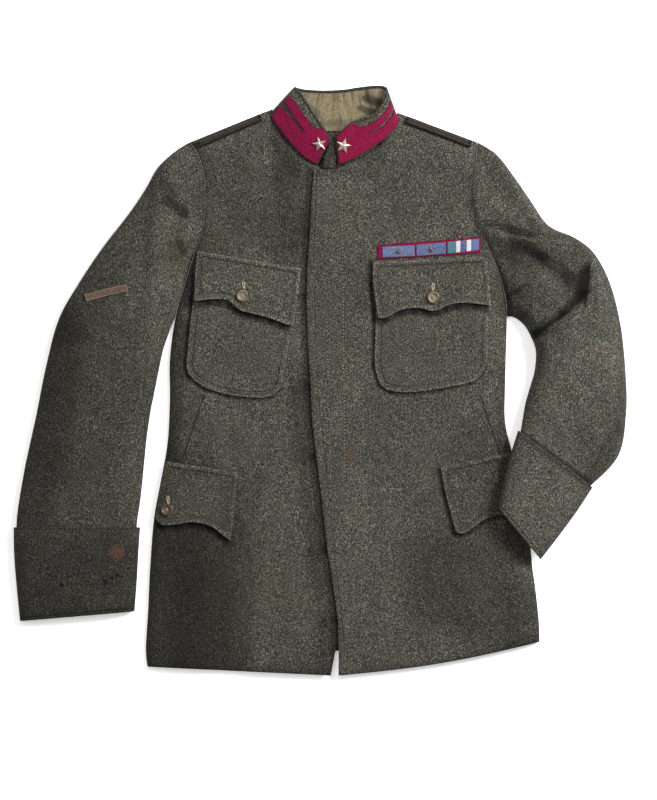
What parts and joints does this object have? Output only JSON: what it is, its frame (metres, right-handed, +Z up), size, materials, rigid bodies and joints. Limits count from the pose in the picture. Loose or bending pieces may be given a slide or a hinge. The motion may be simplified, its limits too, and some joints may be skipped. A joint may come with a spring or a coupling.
{
  "type": "military tunic",
  "caption": "Grey-green wool military tunic laid flat: stand collar with crimson patches and stars, flapped pockets, ribbon bar, one sleeve bent at the elbow.",
  "frame": {"origin": "centre of the laid-out garment's box, on the surface it lies on", "axes": "+X to the viewer's right across the arms, +Y from hem to collar, +Z up, away from the surface; the front of the tunic faces +Z"},
  "size_m": [0.7656, 0.737, 0.0448],
  "materials": {
    "wool": "grey-green melange wool, matt and slightly fuzzy",
    "felt": "crimson felt",
    "cotton": "cream cotton lining, creased",
    "button": "tan brown sewing buttons",
    "silver": "dull silver stars",
    "strap": "very dark piped cloth",
    "ribbon": "blue medal ribbons on crimson backing",
    "braid": "rust brown braid"
  },
  "bodies": {
    "root": {"back": "wool", "front_right": "wool", "front_left": "wool", "sleeve_right_upper": "wool", "sleeve_right_under": "wool", "sleeve_left_upper": "wool", "sleeve_left_under": "wool", "cuff_right": "wool", "cuff_left": "wool", "collar": "wool", "collar_tab": "wool", "breast_pocket_right": "wool", "breast_pocket_left": "wool", "breast_flap_right": "wool", "breast_flap_left": "wool", "lower_flap_right": "wool", "lower_flap_left": "wool", "collar_lining": "cotton", "collar_patch_right": "felt", "collar_patch_left": "felt", "star_right": "silver", "star_left": "silver", "button_breast_right": "button", "button_breast_left": "button", "button_lower_right": "button", "button_lower_left": "button", "shoulder_strap_right": "strap", "shoulder_strap_left": "strap", "ribbon_bar": "ribbon", "sleeve_stripe": "braid"}
  },
  "joints": []
}
